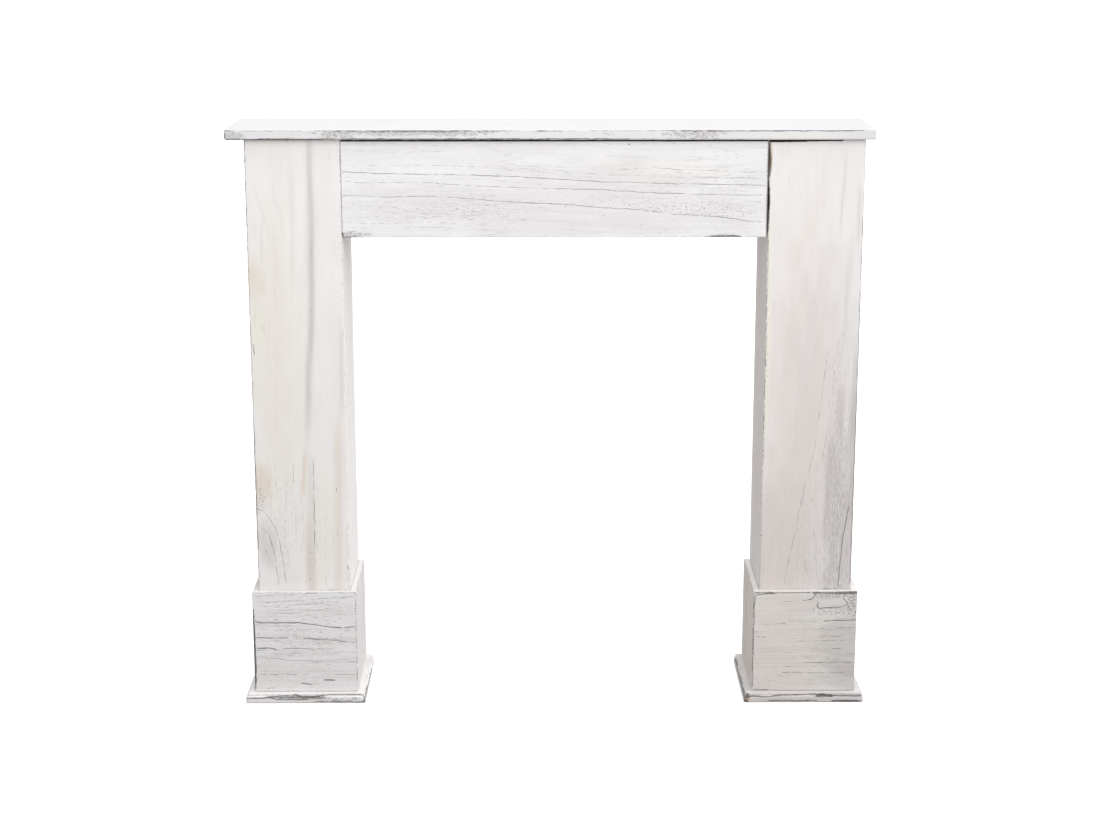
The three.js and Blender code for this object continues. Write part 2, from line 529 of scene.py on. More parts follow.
def store_finish(mesh, board, places, masks):
    offset = board.seed * np.array(GRAIN_OFFSET)
    store(mesh, "place", places * MM + offset, "FLOAT_VECTOR")
    for name, three in THREE_MASKS.items():
        store(mesh, name, np.column_stack([masks[mask] for mask in three]), "FLOAT_VECTOR")
    for name in SINGLE_MASKS:
        store(mesh, name, masks[name], "FLOAT")


def make_board(board, material):
    low, high = box_of(board.node)
    axes = np.array([direction(word) for word in (board.along, board.across, board.through)])
    size = np.abs(axes @ (high - low)) / MM
    start = np.where(axes.sum(axis=0) > 0, low, high)
    sawn = board.profile == "sawn"
    lines_w = mesh_lines(size[2], THROUGH_STEP) if sawn else moulding_lines(size[2])
    lines_u = mesh_lines(size[0], board.steps[0], board.close_lines)
    lines_v = mesh_lines(size[1], board.steps[1])
    places, quads = shell(lines_u, lines_v, lines_w)
    local, masks = shaped(board, size, places)
    points = start + (local * MM) @ axes
    if np.linalg.det(axes) < 0:
        quads = quads[:, ::-1]

    mesh = bpy.data.meshes.new(f"{board.node}_mesh")
    mesh.from_pydata(points.tolist(), [], quads.tolist())
    mesh.shade_smooth()
    store_finish(mesh, board, places, masks)
    piece = bpy.data.objects.new(board.node.replace("_board", ""), mesh)
    bpy.context.scene.collection.objects.link(piece)
    mesh.materials.append(material)
    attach(piece, "root")
    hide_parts(board.node)


# Node helpers

def paint(red, green, blue):
    """A colour given as it looks on a screen, 0 to 1, turned into the renderer's own values."""
    def linear(value):
        return value / 12.92 if value <= 0.04045 else ((value + 0.055) / 1.055) ** 2.4
    return (linear(red), linear(green), linear(blue), 1.0)


def feed(tree, socket, source):
    if isinstance(source, bpy.types.NodeSocket):
        tree.links.new(source, socket)
    else:
        socket.default_value = source


def add(tree, kind, feeds, **settings):
    made = tree.nodes.new(kind)
    for name, value in settings.items():
        setattr(made, name, value)
    for socket, source in feeds.items():
        feed(tree, made.inputs[socket], source)
    return made


def calculate(tree, operation, first, second=0.0):
    return add(tree, "ShaderNodeMath", {0: first, 1: second}, operation=operation).outputs[0]


def plus(tree, first, second):
    return calculate(tree, "ADD", first, second)


def minus(tree, first, second):
    return calculate(tree, "SUBTRACT", first, second)


def times(tree, first, second):
    return calculate(tree, "MULTIPLY", first, second)


def larger(tree, first, second):
    return calculate(tree, "MAXIMUM", first, second)


def ramp(tree, value, low, high, to_low=0.0, to_high=1.0):
    """Turns a value smoothly from to_low, where it is low, to to_high, where it is high."""
    feeds = {0: value, 1: low, 2: high, 3: to_low, 4: to_high}
    return add(tree, "ShaderNodeMapRange", feeds, interpolation_type="SMOOTHSTEP").outputs[0]


def noise(tree, place, detail, roughness):
    feeds = {"Vector": place, "Scale": 1.0, "Detail": detail, "Roughness": roughness}
    return add(tree, "ShaderNodeTexNoise", feeds).outputs[0]


def grain_noise(tree, place, along, across, detail, roughness):
    """Noise with so many cells to a metre along the grain and across it."""
    feeds = {0: place, 1: (along, across, across)}
    stretched = add(tree, "ShaderNodeVectorMath", feeds, operation="MULTIPLY").outputs[0]
    return noise(tree, stretched, detail, roughness)


def blend(tree, share, under, over):
    feeds = {0: share, 6: under, 7: over}
    return add(tree, "ShaderNodeMix", feeds, data_type="RGBA").outputs[2]


def new_group(name, inputs, outputs):
    """An empty effect. Its first input is always the place on the board, and the rest are numbers."""
    tree = bpy.data.node_groups.new(name, "ShaderNodeTree")
    tree.interface.new_socket(name="Place", in_out="INPUT", socket_type="NodeSocketVector")
    for label in inputs:
        tree.interface.new_socket(name=label, in_out="INPUT", socket_type="NodeSocketFloat")
    for label in outputs:
        tree.interface.new_socket(name=label, in_out="OUTPUT", socket_type="NodeSocketFloat")
    return tree, tree.nodes.new("NodeGroupInput").outputs, tree.nodes.new("NodeGroupOutput").inputs


def use(tree, group, feeds):
    made = tree.nodes.new("ShaderNodeGroup")
    made.node_tree = group
    for socket, source in feeds.items():
        feed(tree, made.inputs[socket], source)
    return made.outputs


# Effects that every whitewashed board shares

def grain_group():
    """Thin nested growth lines that run with the grain and break up here and there."""
    tree, given, result = new_group("timber grain", ["Rings", "Breaks"], ["Lines"])
    place = given["Place"]
    flow = grain_noise(tree, place, along=1.6, across=34.0, detail=3.0, roughness=0.45)
    ring = calculate(tree, "FRACT", times(tree, flow, given["Rings"]))
    away = calculate(tree, "ABSOLUTE", minus(tree, ring, 0.5))
    thin = ramp(tree, away, low=0.03, high=0.1, to_low=1.0, to_high=0.0)
    dashes = grain_noise(tree, place, along=70.0, across=420.0, detail=3.0, roughness=0.65)
    kept = ramp(tree, dashes, low=given["Breaks"], high=0.62)
    feed(tree, result["Lines"], times(tree, thin, kept))
    return tree


def fleck_group():
    """Light and dark flecks. Along and Across are how many there are to a metre."""
    tree, given, result = new_group("flecks", ["Along", "Across", "Amount"], ["Light", "Dark"])
    across = given["Across"]
    sizes = add(tree, "ShaderNodeCombineXYZ", {0: given["Along"], 1: across, 2: across}).outputs[0]
    feeds = {0: given["Place"], 1: sizes}
    spot = add(tree, "ShaderNodeVectorMath", feeds, operation="MULTIPLY").outputs[0]
    fleck = noise(tree, spot, detail=2.0, roughness=0.6)
    widening = times(tree, given["Amount"], 0.13)
    lower = plus(tree, widening, 0.27)
    upper = minus(tree, 0.73, widening)
    dark = ramp(tree, fleck, minus(tree, lower, 0.03), plus(tree, lower, 0.06), to_low=1.0, to_high=0.0)
    light = ramp(tree, fleck, minus(tree, upper, 0.06), plus(tree, upper, 0.03))
    shown = ramp(tree, given["Amount"], low=0.0, high=0.25)
    feed(tree, result["Dark"], times(tree, dark, shown))
    feed(tree, result["Light"], times(tree, light, shown))
    return tree


def worn_arris_group():
    """Where the wash is rubbed through along an arris, and the dark core of that wear.

    Arris is how far away the arris is, and Reach is how far the wear goes, both in metres.
    """
    tree, given, result = new_group("worn arris", ["Arris", "Rub", "Reach"], ["Bare", "Core"])
    reach = times(tree, given["Reach"], plus(tree, given["Rub"], 0.3))
    near = minus(tree, 1.0, calculate(tree, "DIVIDE", given["Arris"], reach))
    held = larger(tree, near, -1.0)
    ragged = grain_noise(tree, given["Place"], along=150.0, across=600.0, detail=4.0, roughness=0.75)
    height = plus(tree, times(tree, held, 0.45), ragged)
    pushed = plus(tree, height, times(tree, given["Rub"], 0.3))
    feed(tree, result["Bare"], ramp(tree, pushed, low=0.88, high=0.98))
    feed(tree, result["Core"], ramp(tree, pushed, low=0.98, high=1.12))
    return tree


STROKE_SLANT = math.radians(-32.0)


def scribble_group():
    """Patches scraped back to the grain: where they are, and the slanting strokes in them."""
    tree, given, result = new_group("scribbled wear", ["Amount"], ["Bare", "Strokes"])
    axes = add(tree, "ShaderNodeSeparateXYZ", {0: given["Place"]}).outputs
    feeds = {0: axes["X"], 1: plus(tree, axes["Y"], axes["Z"])}
    flat = add(tree, "ShaderNodeCombineXYZ", feeds).outputs[0]
    turn = {"Vector": flat, "Angle": STROKE_SLANT}
    slanted = add(tree, "ShaderNodeVectorRotate", turn, rotation_type="Z_AXIS").outputs[0]
    jagged = grain_noise(tree, slanted, along=80.0, across=380.0, detail=3.0, roughness=0.65)
    height = plus(tree, jagged, times(tree, given["Amount"], 0.42))
    feed(tree, result["Bare"], ramp(tree, height, low=0.75, high=0.85))
    strokes = grain_noise(tree, slanted, along=150.0, across=850.0, detail=2.0, roughness=0.7)
    feed(tree, result["Strokes"], ramp(tree, strokes, low=0.42, high=0.6))
    return tree


def crack_group():
    """Sharpens the soft lines on the mesh to ragged cracks, in dashes where they are faint."""
    tree, given, result = new_group("ragged cracks", ["Amount"], ["Cracks"])
    dashes = grain_noise(tree, given["Place"], along=75.0, across=240.0, detail=4.0, roughness=0.7)
    height = plus(tree, given["Amount"], times(tree, dashes, 0.75))
    feed(tree, result["Cracks"], ramp(tree, height, low=0.82, high=1.08))
    return tree


def streak_group():
    """Soft streaks in the tan and grey tints, which follow the grain."""
    tree, given, result = new_group("soft streaks", [], ["Streaks"])
    broad = grain_noise(tree, given["Place"], along=12.0, across=130.0, detail=3.0, roughness=0.6)
    feed(tree, result["Streaks"], ramp(tree, broad, low=0.3, high=0.7, to_low=0.75, to_high=1.0))
    return tree


GROUPS = {
    "grain": grain_group(),
    "fleck": fleck_group(),
    "arris": worn_arris_group(),
    "scribble": scribble_group(),
    "crack": crack_group(),
    "streak": streak_group(),
}

# The colours of the wash, the stains in it, the painted shade and the timber under it
WHITE_WASH = paint(0.975, 0.972, 0.97)
GRAIN_GREY = paint(0.60, 0.58, 0.565)
BARE_TIMBER = paint(0.85, 0.843, 0.842)
BARE_STROKES = paint(0.65, 0.643, 0.64)
BROWN_TIMBER = paint(0.68, 0.60, 0.53)
DARK_TIMBER = paint(0.36, 0.345, 0.34)
SHADOWED_TIMBER = paint(0.14, 0.13, 0.13)
RAW_TIMBER = paint(0.70, 0.65, 0.585)
TAN_STAIN = paint(0.86, 0.81, 0.755)
GREY_STAIN_AND_SHADE = paint(0.76, 0.738, 0.73)
PINK_STAIN = paint(0.88, 0.835, 0.825)
CREAM_STAIN = paint(0.91, 0.905, 0.855)

# How strongly each effect colours a board, from 0 to 1
FIGURE_GRAIN = 0.35
RAW_BACK = 0.75
WAVE_DARK = 0.4
WAVE_LIGHT = 0.35
PORE_DARK = 0.8
PORE_LIGHT = 0.45
WORN_CORE = 0.8

# How deep each effect goes in the fine relief, as shares of RELIEF_DEPTH, which is in metres
BARE_DEPTH = 0.5
PORE_DEPTH = 0.7
WAVE_HEIGHT = 0.5
PORE_HEIGHT = 0.7
BRUSH_HEIGHT = 0.05
RELIEF_DEPTH = 0.0005
RELIEF_STRENGTH = 0.6

BARE_ROUGHNESS = 0.9
DULL_SPECULAR = 0.25


def read(tree, name):
    return add(tree, "ShaderNodeAttribute", {}, attribute_name=name).outputs


def read_finish(tree):
    """The finish at a place on the board, as the mesh keeps it."""
    seen = {"place": read(tree, "place")["Vector"]}
    for name, three in THREE_MASKS.items():
        parts = add(tree, "ShaderNodeSeparateXYZ", {0: read(tree, name)["Vector"]}).outputs
        seen.update(zip(three, parts))
    for name in SINGLE_MASKS:
        seen[name] = read(tree, name)["Fac"]
    return seen


def add_effects(tree, seen, ripple, arris_reach):
    """Works out the shared effects at a place, and adds them to what is seen there."""
    place = {"Place": seen["place"]}
    worn_arris = use(tree, GROUPS["arris"], {
        **place, "Arris": seen["arris"], "Rub": seen["rub"], "Reach": arris_reach,
    })
    scribble = use(tree, GROUPS["scribble"], {**place, "Amount": seen["rub"]})
    seen["rings"] = use(tree, GROUPS["grain"], {**place, "Rings": 9.0, "Breaks": 0.4})["Lines"]
    seen["waves"] = use(tree, GROUPS["fleck"], {
        **place, "Along": 95.0, "Across": 520.0, "Amount": plus(tree, seen["figure"], ripple),
    })
    seen["pores"] = use(tree, GROUPS["fleck"], {
        **place, "Along": 250.0, "Across": 450.0, "Amount": seen["stipple"],
    })
    seen["cracks"] = use(tree, GROUPS["crack"], {**place, "Amount": seen["crack"]})["Cracks"]
    seen["streaks"] = use(tree, GROUPS["streak"], place)["Streaks"]
    seen["bare"] = larger(tree, worn_arris["Bare"], scribble["Bare"])
    seen["core"] = worn_arris["Core"]
    seen["strokes"] = scribble["Strokes"]


def wash_colour(tree, seen, wash, shade, grain, line_tone):
    """The wash with its stains and painted shade, then the grain, then the timber where the wash is gone,
    and last the painted shade in the gaps.
    """
    def tint(colour, mask, strength, over):
        return blend(tree, times(tree, mask, strength), colour, over)

    mottle = grain_noise(tree, seen["place"], along=7.0, across=26.0, detail=3.0, roughness=0.55)
    colour = blend(tree, ramp(tree, mottle, low=0.35, high=0.7), wash, shade)
    colour = blend(tree, seen["pink"], colour, PINK_STAIN)
    colour = blend(tree, seen["cream"], colour, CREAM_STAIN)
    colour = tint(colour, seen["tan"], seen["streaks"], TAN_STAIN)
    # The grey is partly painted shade, where it darkens the right plinth and the right base
    colour = tint(colour, seen["grey"], seen["streaks"], GREY_STAIN_AND_SHADE)
    colour = blend(tree, grain, colour, GRAIN_GREY)
    colour = tint(colour, seen["hidden"], RAW_BACK, RAW_TIMBER)
    colour = tint(colour, seen["waves"]["Dark"], WAVE_DARK, GRAIN_GREY)
    colour = tint(colour, seen["waves"]["Light"], WAVE_LIGHT, WHITE_WASH)
    colour = tint(colour, seen["pores"]["Dark"], PORE_DARK, GRAIN_GREY)
    colour = tint(colour, seen["pores"]["Light"], PORE_LIGHT, WHITE_WASH)
    rubbed = blend(tree, seen["strokes"], BARE_TIMBER, BARE_STROKES)
    rubbed = blend(tree, seen["tan"], rubbed, BROWN_TIMBER)
    colour = blend(tree, seen["bare"], colour, rubbed)
    colour = tint(colour, seen["core"], WORN_CORE, DARK_TIMBER)
    colour = tint(colour, seen["cracks"], line_tone, DARK_TIMBER)
    # Painted shade: the gaps are painted near black where the gap-shade mask is set
    return blend(tree, ramp(tree, seen["gap_shade"], low=0.5, high=0.72), colour, SHADOWED_TIMBER)


def wash_relief(tree, seen, grain, ripple):
    """The fine relief: light flecks and brush marks stand up, and cracks, pores and grain lie low."""
    brushed = grain_noise(tree, seen["place"], along=90.0, across=800.0, detail=3.0, roughness=0.6)
    waves = times(tree, seen["waves"]["Light"], WAVE_HEIGHT)
    proud = plus(tree, waves, times(tree, seen["pores"]["Light"], PORE_HEIGHT))
    proud = plus(tree, proud, times(tree, brushed, ripple + BRUSH_HEIGHT))
    scraped = plus(tree, seen["cracks"], times(tree, seen["bare"], BARE_DEPTH))
    pitted = plus(tree, grain, times(tree, seen["pores"]["Dark"], PORE_DEPTH))
    height = minus(tree, proud, plus(tree, scraped, pitted))
    feeds = {"Height": height, "Strength": RELIEF_STRENGTH, "Distance": RELIEF_DEPTH}
    return add(tree, "ShaderNodeBump", feeds).outputs["Normal"]


def limewashed(name, wash, shade, *, grain, ripple, line_tone, arris_reach, roughness):
    """Timber under a thin white wash. wash and shade are its light and its greyer tone.

    grain, ripple and line_tone are how strongly the growth lines, the flecked figure and the cracks
    show, and arris_reach is how far in metres the wear goes from an arris.
    """
    material = bpy.data.materials.new(name)
    material.use_nodes = True
    tree = material.node_tree
    shader = tree.nodes["Principled BSDF"]
    seen = read_finish(tree)
    add_effects(tree, seen, ripple, arris_reach)
    grain_strength = plus(tree, times(tree, seen["figure"], FIGURE_GRAIN), grain)
    grain_share = times(tree, larger(tree, seen["rings"], seen["growth"]), grain_strength)

    feed(tree, shader.inputs["Base Color"], wash_colour(tree, seen, wash, shade, grain_share, line_tone))
    dullness = ramp(tree, seen["bare"], 0.0, 1.0, to_low=roughness, to_high=BARE_ROUGHNESS)
    feed(tree, shader.inputs["Roughness"], dullness)
    feed(tree, shader.inputs["Normal"], wash_relief(tree, seen, grain_share, ripple))
    shader.inputs["Specular IOR Level"].default_value = DULL_SPECULAR
    return material


def shelf_finish():
    return limewashed(
        "whitewashed shelf", paint(0.866, 0.865, 0.87), paint(0.856, 0.854, 0.858),
        grain=0.05, ripple=0.05, line_tone=0.8, arris_reach=0.004, roughness=0.55,
    )


def header_finish():
    return limewashed(
        "whitewashed header", paint(0.926, 0.92, 0.923), paint(0.904, 0.897, 0.901),
        grain=0.24, ripple=0.34, line_tone=0.62, arris_reach=0.003, roughness=0.62,
    )


def post_finish():
    return limewashed(
        "whitewashed posts", paint(0.918, 0.906, 0.905), paint(0.905, 0.889, 0.884),
        grain=0.08, ripple=0.03, line_tone=0.62, arris_reach=0.003, roughness=0.62,
    )


def plinth_finish():
    return limewashed(
        "whitewashed plinths", paint(0.9, 0.892, 0.892), paint(0.876, 0.865, 0.862),
        grain=0.25, ripple=0.22, line_tone=0.8, arris_reach=0.004, roughness=0.66,
    )


def base_finish():
    return limewashed(
        "whitewashed bases", paint(0.925, 0.918, 0.916), paint(0.89, 0.88, 0.876),
        grain=0.12, ripple=0.25, line_tone=0.8, arris_reach=0.005, roughness=0.62,
    )


# What shows on each board

HEADER_MARKS = [
    Line([(8, 113.6), (57, 112), (142, 113), (340, 104.8), (404, 97.8), (454, 96.8),
          (521, 94.4)], 0.72, 0.48),
    Line([(521, 94.4), (571, 93.8), (595, 92.4), (619, 93.2), (649, 91.2)], 0.85, 0.48),
    Line([(2, 103), (57, 100.2), (110, 99.5), (199, 97.7), (269, 95.2), (319, 92.4)], 1.00, 0.55),
    Line([(319, 92.4), (404, 86.8), (452, 85.8), (545, 83.2), (617, 82.4), (657, 80.8)], 0.98, 0.5),
    Line([(8, 88.2), (29, 86), (128, 86), (149, 84.6), (216, 80), (287, 77.6), (333, 76.5)], 0.85, 0.48),
    Line([(333, 76.5), (404, 74.7), (463, 70.7), (511, 68.3), (585, 67.1), (627, 65.7),
          (653, 66.3)], 0.98, 0.5),
    Line([(2, 65.9), (78, 63.4), (121, 64.8), (170, 63.4), (206, 59.9), (252, 56.3),
          (340, 52.1)], 0.92, 0.48),
    Line([(340, 52.1), (404, 46.6), (465, 43.4), (509, 36.6), (571, 33.5), (609, 28.9), (641, 24.1),
          (653, 24.5)],
         0.9, 0.55),
    Line([(430, 106.3), (489, 108.5), (517, 105.9), (577, 104.5), (617, 102.5), (645, 100.9)], 0.78, 0.55),
    Line([(569, 127), (585, 126.4), (611, 125), (635, 121), (649, 117)], 0.65, 0.48),
    Line([(605, 60.7), (627, 56.7), (651, 55.6)], 0.70, 0.48),
    Line([(4, 57), (57, 55.3), (128, 57)], 0.62, 0.48),
    Line([(29, 37.6), (39, 47.1), (68, 47.1), (80, 37.6), (68, 28), (39, 28), (29, 37.6)], 0.65, 0.48),
    Line([(39, 37.6), (46, 42.9), (62, 42.9), (69, 37.6), (62, 32.3), (46, 32.3), (39, 37.6)], 0.65, 0.48),
    Line([(4, 17.4), (36, 14.6), (128, 16.4), (223, 11.1)], 0.65, 0.48),
    Line([(404, 34.5), (428, 35)], 0.65, 0.48),
    Line([(430, 23.5), (454, 23.5)], 0.65, 0.48),
    Line([(445, 146), (447, 142), (446, 137)], 1.0, 0.8),
    Line([(130, 17), (131, 17)], 1.0, 1.0),
    Line([(222, 12), (223, 12)], 0.9, 0.9),
    # Painted shade: a dark line along the header's top, in the gap under the shelf
    Line([(0, 151), (659, 151)], 1.0, 0.4, 0.0, "gap_shade"),
    Patch("stipple", (570, 46), (140, 19), 0.75),
    Patch("stipple", (400, 56), (190, 13), 0.6),
    Patch("stipple", (170, 40), (160, 26), 0.5),
    Patch("figure", (170, 40), (180, 34), 0.35),
    Patch("figure", (560, 84), (140, 20), 0.3),
    Patch("rub", (12, 3), (54, 9), 1.0),
    Patch("rub", (592, 1.5), (34, 4), 1.0),
    Patch("cream", (480, 104), (150, 30), 0.2),
    Patch("grey", (330, 50), (480, 90), 0.27),
    Patch("clean", (330, 146), (420, 10), 1.0),
    Patch("clean", (300, 0), (290, 5), 1.0),
]

LEFT_POST_MARKS = [
    Streak("grey", [(350, 82), (500, 90), (585, 94.5), (731, 100.5), (800, 101), (1010, 99)], 5.5, 0.8),
    Streak("grey", [(740, 97.5), (960, 97.5)], 1.3, 0.7),
    Streak("grey", [(240, 93), (430, 87)], 5.0, 0.3),
    Streak("grey", [(441, 143), (634, 143)], 4.0, 0.35),
    Patch("stipple", (620, 97), (240, 7), 0.4),
    Patch("clean", (450, 148), (470, 5), 0.9),
    Streak("grey", [(740, 36), (778, 28.5), (806.5, 19.6), (850, 10)], 2.4, 0.22),
    Streak("grey", [(730, 58), (790, 54), (806.5, 46), (821, 42.6), (856, 49)], 2.4, 0.2),
    Streak("grey", [(690, 20), (760, 24), (810, 30)], 2.0, 0.2),
    Streak("grey", [(640, 66), (760, 72), (900, 70)], 4.0, 0.2),
    Streak("cream", [(715, 61), (820, 60)], 2.4, 1.0),
    Streak("tan", [(315, 76), (420, 82)], 3.4, 1.0),
    Streak("tan", [(90, 130), (300, 132), (520, 136)], 7.0, 0.64),
    Streak("pink", [(120, 83), (250, 86), (320, 88)], 7.5, 1.0),
    Streak("grey", [(120, 83), (250, 86), (330, 88)], 6.5, 0.35),
    Patch("stipple", (215, 85), (90, 10), 0.55),
    Patch("tan", (680, 10), (52, 18), 0.6),
    Patch("cream", (606, 12), (60, 18), 0.7),
    Patch("cream", (560, 44), (340, 64), 0.4),
    Patch("tan", (560, 36), (320, 56), 0.14),
    Patch("cream", (260, 108), (150, 40), 0.4),
    Patch("tan", (300, 60), (220, 100), 0.14),
    Patch("tan", (345, 9), (58, 22), 0.8),
    Patch("stipple", (330, 6), (36, 12), 1.0),
    Patch("pink", (560, 40), (280, 36), 0.3),
    Patch("grey", (245, 14), (60, 24), 0.5),
    Patch("figure", (290, 34), (150, 40), 0.55),
    Patch("figure", (280, 90), (150, 60), 0.35),
    Patch("figure", (640, 30), (200, 30), 0.2),
    Line([(309, 1.8), (304, 14), (277, 30.4), (244, 38), (185, 44)], 0.9, 0.65),
    Line([(279, 3.4), (266, 19.6), (228, 27.7), (180, 33)], 0.8, 0.65),
    Line([(262, 4), (250, 12), (222, 17)], 0.72, 0.6),
    Line([(353, 61.4), (393, 61.4)], 0.8, 0.55),
    Line([(281, 67), (297, 67)], 0.8, 0.55),
    Line([(217, 92), (300, 93), (397, 94)], 0.85, 0.6),
    Line([(176, 62), (262, 62)], 0.55, 0.6),
    Line([(176, 110), (300, 108)], 0.55, 0.6),
    Line([(176, 47), (262, 50), (330, 52)], 0.55, 0.6),
    Line([(540, 34), (640, 40), (700, 46), (760, 38)], 0.45, 0.6),
    Line([(580, 4), (560, 6)], 0.95, 0.8),
    Line([(346, 129), (338, 130)], 0.9, 0.8),
    Line([(213, 145), (208, 146)], 0.95, 0.8),
    Line([(294, 73), (292, 74)], 0.95, 0.8),
    Line([(172, 58), (172, 146)], 0.85, 0.5),
    Line([(180, 0.4), (902, 0.4)], 0.68, 0.7),
    Line([(240, 0.6), (441, 0.6)], 0.85, 0.8),
]

RIGHT_POST_MARKS = [
    Patch("grey", (270, 126), (360, 40), 0.85),
    Patch("grey", (330, 148), (360, 24), 0.9),
    Patch("grey", (230, 60), (260, 110), 0.42),
    Patch("grey", (480, 90), (330, 80), 0.28),
    Patch("tan", (330, 70), (420, 120), 0.2),
    Streak("grey", [(740, 111), (896, 119)], 2.2, 0.4),
    Streak("grey", [(720, 141), (850, 141)], 3.0, 0.4),
    Streak("grey", [(380, 108), (600, 124), (800, 134)], 6.0, 0.35),
    Streak("grey", [(60, 66), (345, 100), (640, 130)], 24.0, 0.4),
    Patch("cream", (800, 40), (140, 60), 0.15),
    Patch("pink", (500, 50), (380, 90), 0.55),
    Patch("pink", (260, 30), (280, 70), 0.7),
    Patch("tan", (220, 20), (180, 50), 0.3),
    Patch("cream", (600, 3), (260, 7), 0.8),
    Patch("stipple", (580, 2), (240, 4), 0.7),
    Patch("figure", (300, 120), (360, 36), 0.85),
    Patch("figure", (260, 84), (180, 44), 0.5),
    Patch("stipple", (330, 118), (200, 30), 0.35),
    Line([(180, 40), (200, 43), (345, 69), (409, 83), (570, 99)], 0.74, 0.6),
    Line([(480, 16), (514, 40)], 0.6, 0.6),
    Line([(387, 96), (387, 147)], 0.66, 0.6),
    Line([(176, 127), (265, 133), (313, 141)], 1.0, 0.75, 0.4),
    Line([(176, 117), (240, 120), (330, 128)], 0.65, 0.6),
    Line([(176, 98), (260, 100), (340, 106)], 0.6, 0.6),
    Line([(742, 147), (740, 147)], 1.0, 0.9),
    Line([(265, 1.2), (263, 1.2)], 1.0, 0.9),
    Line([(228, 1.2), (226, 1.2)], 1.0, 0.9),
    Line([(172, 88), (172, 147)], 0.9, 0.6),
    Line([(172, 20), (172, 88)], 0.6, 0.5),
    Line([(180, 147.6), (474, 147.6)], 0.95, 0.7),
    Line([(474, 147.6), (787, 147.6)], 0.72, 0.7),
    Line([(380, 0.4), (811, 0.4)], 0.66, 0.7),
    # Painted shade: the dark wedge of gap between the right post's top and the shelf
    Line([(902, 0), (902, 56)], 1.0, 1.5, 0.0, "gap_shade"),
    Line([(902.3, 56), (902.3, 112)], 1.0, 0.9, 0.0, "gap_shade"),
    Patch("rub", (868, 0), (30, 3.5), 1.0),
    Patch("tan", (876, 0), (30, 6), 1.0),
    Patch("rub", (800, 0), (50, 2.5), 0.8),
]

RIGHT_POST_RIM_MARKS = {
    # The first patch is painted shade on the front board's inner rim, in the gap behind the header's end
    "front": [Patch("gap_shade", (795, 7), (66, 12), 1.2), Patch("tan", (872, 6), (34, 12), 1.0),
              Patch("rub", (872, 6), (34, 12), 1.0)],
}

RIGHT_INNER_MARKS = [
    Patch("tan", (560, 40), (600, 140), 0.22),
    Patch("pink", (560, 40), (600, 140), 0.25),
    # Painted shade on the inner board's front edge, in the gap behind the header's end
    Patch("gap_shade", (795, 0), (66, 4.5), 1.4),
    Patch("tan", (872, 0), (34, 5), 1.0),
]

OUTER_MARKS = [
    Patch("grey", (450, 70), (1500, 500), 0.7),
    Streak("grey", [(60, 40), (400, 52), (880, 46)], 9.0, 0.9),
    Streak("tan", [(20, 108), (300, 104), (620, 112)], 12.0, 0.6),
    Patch("figure", (260, 80), (300, 60), 0.7),
    Line([(180, 62), (330, 66), (520, 58), (760, 64)], 0.7),
    Line([(200, 92), (420, 99), (610, 96)], 0.62),
    Line([(500, 26), (690, 30), (880, 27)], 0.66),
]

